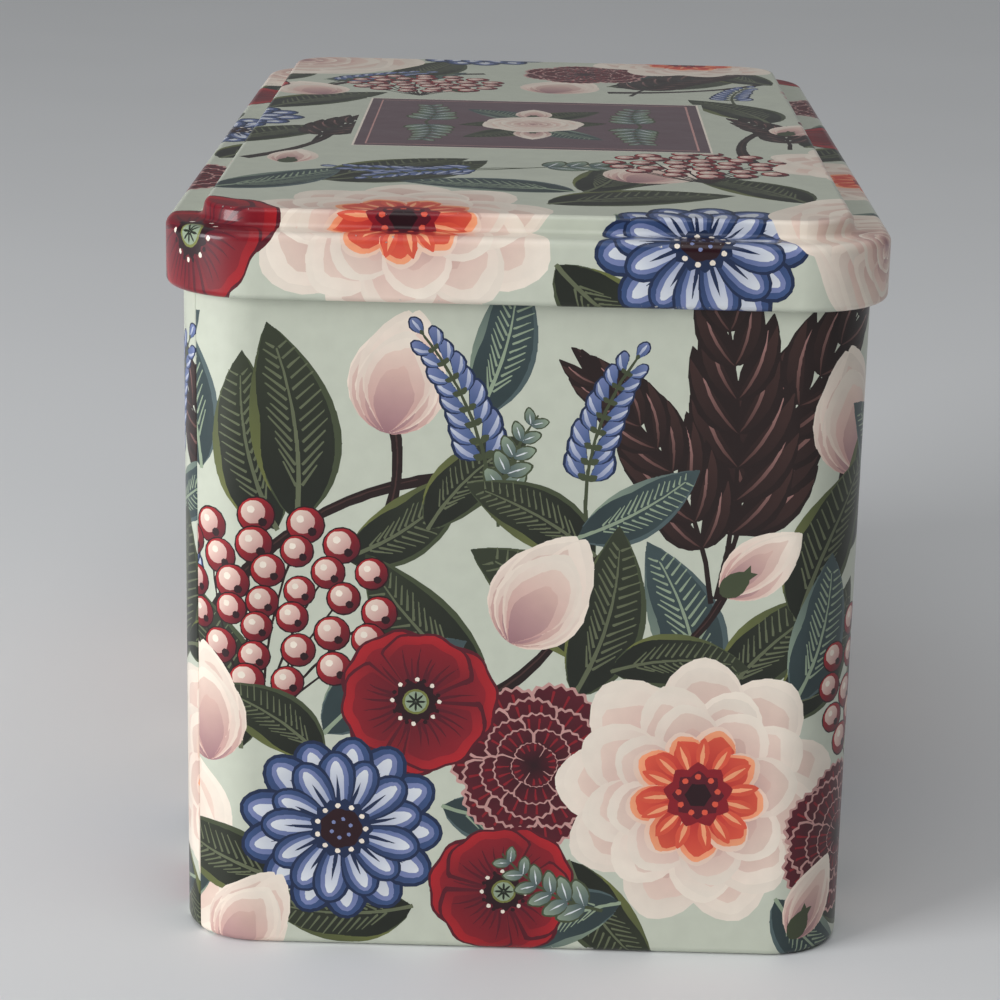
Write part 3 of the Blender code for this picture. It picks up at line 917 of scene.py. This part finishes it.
def on_lid(spots):
    """Plan places, heights and normals for places on the flat blank the lid is drawn from,
    and how far along the section each lies."""
    section = lid_section()
    centre = np.clip(spots.real, -LID_CORE.real, LID_CORE.real)
    centre = centre + 1j * np.clip(spots.imag, -LID_CORE.imag, LID_CORE.imag)
    reach = abs(spots - centre)
    way = (spots - centre) / np.maximum(reach, SAME)
    flat = LID_CORNER - section[0].real[-1]
    back = section[2][-1] - np.maximum(reach - flat, 0)
    spot = between(back, section[2], section[0])
    facing = between(back, section[2], faces_of_section(section)[0][1])
    drawn = reach > flat
    plan = np.where(drawn, centre + way * (LID_CORNER - spot.real), spots)
    height = np.where(drawn, spot.imag, HEIGHT)
    normals = np.where(drawn, -facing.real * way, 0), np.where(drawn, facing.imag, 1)
    return (plan, height, *normals), back


def add_pressed(skin, section, core, radius, sides, slot):
    """Faces of a sheet pressed all round to a section, each with its flat middle, and its cut edge."""
    centres, ways = rounded_outline(core)
    faces = faces_of_section(section)
    for side in sides:
        spots, outward = faces[side]
        plan = centres + ways * (radius - spots.real[:, None])
        up = BACK_FOOT + BACK_RISE * section[2][:, None] / section[2][-1]
        share = np.linspace(0, 1, len(ways)) + 1j * up
        skin.add(plan, spots.imag[:, None], -outward.real[:, None] * ways, outward.imag[:, None], share,
                 grid_faces(*plan.shape, wrap=True, flip=side == 1), slot=slot)
        ring = np.arange(len(ways))[::-1 if side else 1]
        skin.add(plan[-1], spots.imag[-1], 0, outward.imag[-1], 0.5 + 0.975j, [ring], slot=slot)
    rows = [(centres + ways * (radius - spots[0].real), np.full(len(ways), spots[0].imag))
            for spots, _ in faces]
    facing = -np.exp(1j * section[1][0])
    skin.add_edge(*rows, -facing.real * ways, facing.imag, 0.5, True, wrap=True, slot=slot)


def lid_mesh(name, sheet, materials):
    section = lid_section()
    flat = LID_CORNER - section[0].real[-1]
    centres, ways = rounded_outline(LID_CORE)
    reaches = flat + section[2][-1] - section[2]
    outline = centres + ways * reaches[0]
    guides = []
    for reach in reaches[1:]:
        ring = centres + ways * reach
        guides.append(np.append(ring, ring[0]))
    guides += [centre + way * np.array([flat, reaches[0]]) for centre, way in zip(centres, ways)]
    spots, triangles, inks = printed_triangles(outline, sheet.shapes, guides, np.array(GROUND) / 255)
    skin = Skin()
    half = LID_CORE + reaches[0] * (1 + 1j)
    bake = (spots.real / half.real + 1) / 2 + 1j * (spots.imag / half.imag + 1) / 2 * PRINT_TOP
    surface, along = on_lid(spots)
    add_print(skin, surface, spots, triangles, inks, section, along, bake)
    add_pressed(skin, section, LID_CORE, LID_CORNER, (1,), 1)
    return skin.mesh(name, materials)


def bottom_mesh(name, materials):
    skin = Skin()
    add_pressed(skin, bottom_section(), BODY_CORE, BODY_CORNER, (0, 1), 0)
    return skin.mesh(name, materials)


def fold_mesh(name, materials):
    """The strip of folded sheet along the inside of a seam."""
    deep = np.array([SHEET, FOLD_DEPTH - FOLD_EDGE, FOLD_DEPTH, FOLD_DEPTH, FOLD_DEPTH - FOLD_EDGE, SHEET])
    along = np.array([0, 0, FOLD_EDGE, SEAM_FOLD - FOLD_EDGE, SEAM_FOLD, SEAM_FOLD])
    tilt = np.array([0, 45, 90, 90, 135, 180])
    way = turned(SEAM_ANGLE + np.degrees((along - SEAM_FOLD / 2) / BODY_CORNER))
    plan = -BODY_CORE + way * (BODY_CORNER - deep)
    ends = np.array([[SEAM_LOW_Z], [SEAM_HIGH_Z]])
    place = 0.5 + 0.5j
    skin = Skin()
    skin.add(plan, ends, -way * 1j * turned(-tilt), 0.0, place, grid_faces(2, len(plan), flip=True), slot=0)
    ring = np.arange(len(plan))
    skin.add(plan, SEAM_LOW_Z, 0, -1.0, place, [ring], slot=0)
    skin.add(plan, SEAM_HIGH_Z, 0, 1.0, place, [ring[::-1]], slot=0)
    return skin.mesh(name, materials)


# Materials

def feed(tree, socket, value):
    """Set a socket to a value, or link it to the output of a node."""
    if isinstance(value, bpy.types.NodeSocket):
        tree.links.new(value, socket)
    else:
        socket.default_value = value


def node(tree, kind, **values):
    """A new node, with its settings and its inputs by name."""
    made = tree.nodes.new(kind)
    for name, value in values.items():
        if name in made.inputs:
            feed(tree, made.inputs[name], value)
        else:
            setattr(made, name, value)
    return made


def plain_material(name, values):
    """A material, its node tree and its shader, with the shader's inputs by name."""
    material = bpy.data.materials.new(name)
    material.use_nodes = True
    shader = material.node_tree.nodes["Principled BSDF"]
    for socket, value in values.items():
        shader.inputs[socket].default_value = value
    return material, material.node_tree, shader


def noise(tree, scale, detail, stretch=(1, 1, 1)):
    place = node(tree, "ShaderNodeTexCoord").outputs["Object"]
    place = node(tree, "ShaderNodeMapping", Vector=place, Scale=stretch).outputs[0]
    return node(tree, "ShaderNodeTexNoise", Vector=place, Scale=scale, Detail=detail).outputs["Fac"]


def spread(tree, value, low, high, first=0.3, last=0.7):
    """The value, from first to last, spread over low to high."""
    ends = {"From Min": first, "From Max": last, "To Min": low, "To Max": high}
    return node(tree, "ShaderNodeMapRange", Value=value, **ends).outputs[0]


def mixed(tree, share, *colours):
    """A colour between two, each of which is a value or the output of a node."""
    mix = node(tree, "ShaderNodeMix", data_type="RGBA")
    for socket, value in zip((0, 6, 7), (share, *colours)):
        feed(tree, mix.inputs[socket], value)
    return mix.outputs[2]


def bump(tree, value, distance):
    return node(tree, "ShaderNodeBump", Height=value, Distance=distance).outputs[0]


# Noises: scale to the metre, and detail
MOTTLE = 260.0, 5.0      # in the inks
GLOSS = 90.0, 3.0        # in how smooth the lacquer is
PEEL = 700.0, 2.0        # in its height
PATCHES = 30.0, 2.0      # where rubbed edges are worn more or less
SPECKS = 1000.0, 4.0     # where wear shows
GRAIN = 60.0, 4.0        # rolling lines of the tin, before they are drawn out
CLOUDS = 14.0, 3.0       # in the tin
SCUFF = 6.0, 3.0         # on the floor
PEEL_DEPTH = 0.000015    # m
GRAIN_DEPTH = 0.000003   # m
GRAIN_STRETCH = (30, 1, 30)
RUB_REACH = 0.22         # how far a rubbed edge brings the noise towards wear
RUB_START = 0.80         # noise at which the lacquer begins to be worn through
RUB_END = 0.84           # noise at which it is gone
WORN_TIN = (0.52, 0.51, 0.48, 1)
TIN_TONES = (0.73, 0.73, 0.70, 1), (0.84, 0.84, 0.82, 1)
FLOOR_TONE = (0.74, 0.75, 0.76, 1)


def printed_lacquer():
    """Inks under clear lacquer, a little mottled, worn through in specks along outward bends."""
    material, tree, shader = plain_material("printed_lacquer", {
        "Roughness": 0.34, "Specular IOR Level": 0.25, "Coat Weight": 0.3, "Coat Roughness": 0.1})
    ink = node(tree, "ShaderNodeAttribute", attribute_name="ink").outputs
    mottle = spread(tree, noise(tree, *MOTTLE), 0.96, 1.02)
    tinted = node(tree, "ShaderNodeVectorMath", operation="SCALE", Vector=ink["Color"], Scale=mottle)
    rub = node(tree, "ShaderNodeMath", operation="MULTIPLY_ADD")
    patches = spread(tree, noise(tree, *PATCHES), 0.0, RUB_REACH)
    for socket, value in zip(rub.inputs, (ink["Alpha"], patches, noise(tree, *SPECKS))):
        feed(tree, socket, value)
    worn = spread(tree, rub.outputs[0], 0.0, 1.0, RUB_START, RUB_END)
    feed(tree, shader.inputs["Base Color"], mixed(tree, worn, tinted.outputs[0], WORN_TIN))
    feed(tree, shader.inputs["Metallic"], worn)
    feed(tree, shader.inputs["Roughness"], spread(tree, noise(tree, *GLOSS), 0.30, 0.40))
    feed(tree, shader.inputs["Normal"], bump(tree, noise(tree, *PEEL), PEEL_DEPTH))
    return material


def bare_tinplate():
    """Bright tinplate with fine rolling lines along Y and a faint cloudiness."""
    material, tree, shader = plain_material("bare_tinplate", {"Roughness": 0.34, "Metallic": 1.0})
    grain = noise(tree, *GRAIN, GRAIN_STRETCH)
    clouds = spread(tree, noise(tree, *CLOUDS), 0.0, 1.0)
    feed(tree, shader.inputs["Base Color"], mixed(tree, clouds, *TIN_TONES))
    feed(tree, shader.inputs["Roughness"], spread(tree, grain, 0.28, 0.36))
    feed(tree, shader.inputs["Normal"], bump(tree, grain, GRAIN_DEPTH))
    return material


# Staging

CAMERA_PLACE = (0.00234, -0.71387, 0.27124)
CAMERA_LENS = 102.99     # mm
CAMERA_SENSOR = 36.0     # mm
CAMERA_NEAR = 0.01
CAMERA_DOWN = 0.27894    # radians below the horizon
CAMERA_SIDE = -0.01172   # radians to the right of +Y
CAMERA_ROLL = 0.02197    # radians
LIGHTS = (("window", (-1.45, -0.95, 0.55), 0.9, 28), ("fill", (0.0, -0.6, 1.4), 1.0, 4))    # m, m, W
LIGHT_AIM = (0, 0, 0.08)
SKY = ((0.0, 0.36), (0.08, 0.22), (0.18, 0.12), (0.42, 0.15), (0.75, 0.46))    # height, level
SKY_TINT = (0.97, 0.985, 1.0)
FLOOR_HALF = 6.0


def place_in_scene(name, data):
    item = bpy.data.objects.new(name, data)
    bpy.context.scene.collection.objects.link(item)
    return item


def add_camera():
    camera = place_in_scene("camera", bpy.data.cameras.new("camera"))
    camera.data.lens = CAMERA_LENS
    camera.data.sensor_width = CAMERA_SENSOR
    camera.data.clip_start = CAMERA_NEAR
    pose = Matrix.Translation(CAMERA_PLACE)
    for angle, axis in ((-CAMERA_SIDE, "Z"), (pi / 2 - CAMERA_DOWN, "X"), (CAMERA_ROLL, "Z")):
        pose = pose @ Matrix.Rotation(angle, 4, axis)
    camera.matrix_world = pose
    bpy.context.scene.camera = camera


def add_floor():
    data = bpy.data.meshes.new("floor")
    corners = [(x * FLOOR_HALF, y * FLOOR_HALF, 0) for x, y in ((-1, -1), (1, -1), (1, 1), (-1, 1))]
    data.from_pydata(corners, [], [(0, 1, 2, 3)])
    material, tree, shader = plain_material("floor_paint", {"Roughness": 0.6, "Base Color": FLOOR_TONE})
    feed(tree, shader.inputs["Roughness"], spread(tree, noise(tree, *SCUFF), 0.55, 0.65))
    data.materials.append(material)
    place_in_scene("floor", data)


def light_scene():
    """A grey sky, pale at the horizon and overhead, with a soft window light and a fill light."""
    world = bpy.data.worlds.new("world")
    bpy.context.scene.world = world
    world.use_nodes = True
    tree = world.node_tree
    place = node(tree, "ShaderNodeTexCoord").outputs["Generated"]
    height = node(tree, "ShaderNodeSeparateXYZ", Vector=place).outputs["Z"]
    ramp = node(tree, "ShaderNodeValToRGB", Fac=height)
    ramp.color_ramp.interpolation = "EASE"
    stops = ramp.color_ramp.elements
    while len(stops) < len(SKY):
        stops.new(0.5)
    for stop, (height, level) in zip(stops, SKY):
        stop.position = height
        stop.color = (*(level * part for part in SKY_TINT), 1)
    feed(tree, tree.nodes["Background"].inputs["Color"], ramp.outputs[0])
    for name, place, size, power in LIGHTS:
        light = bpy.data.lights.new(name, "AREA")
        light.size, light.energy = size, power
        item = place_in_scene(name, light)
        item.location = place
        item.rotation_euler = (Vector(LIGHT_AIM) - Vector(place)).to_track_quat("-Z", "Y").to_euler()


# The box itself

# Wall sheets: name, node it stands for, turn about Z, shift of the print along it, seed
WALLS = (("front_right_sheet", "front_right_wall", 0, 0.0, 7),
         ("back_left_sheet", "back_left_wall", 180, 98.0, 8))
WALL_COPIES = range(-1, 4)    # repeats of the wall layout, enough to cover a shifted sheet
LID_SEED = 3


def add_piece(name, data, body, node_name=None, turn=0.0):
    item = place_in_scene(name, data)
    item.rotation_euler.z = radians(turn)
    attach(item, body)
    if node_name:
        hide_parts(node_name)


def build_box():
    lacquer, tin = printed_lacquer(), bare_tinplate()
    for name, node_name, turn, shift, seed in WALLS:
        wall = Print(seed)
        for number in WALL_COPIES:
            wall.lay(WALL_LAYOUT, complex(number * WALL_REPEAT - shift, wall_rise()))
        add_piece(name, wall_mesh(name, wall, (lacquer, tin)), "box", node_name, turn)
    top = Print(LID_SEED)
    top.lay(LID_LAYOUT)
    add_label(top)
    add_piece("lid_shell", lid_mesh("lid_shell", top, (lacquer, tin)), "lid", "lid")
    add_piece("bottom_sheet", bottom_mesh("bottom_sheet", (tin,)), "box", "bottom_panel")
    fold = fold_mesh("seam_fold", (tin,))
    add_piece("seam_fold_near_left", fold, "box")
    add_piece("seam_fold_far_right", fold, "box", turn=180)


add_camera()
build_box()
add_floor()
light_scene()
bpy.context.scene.view_settings.view_transform = "Standard"
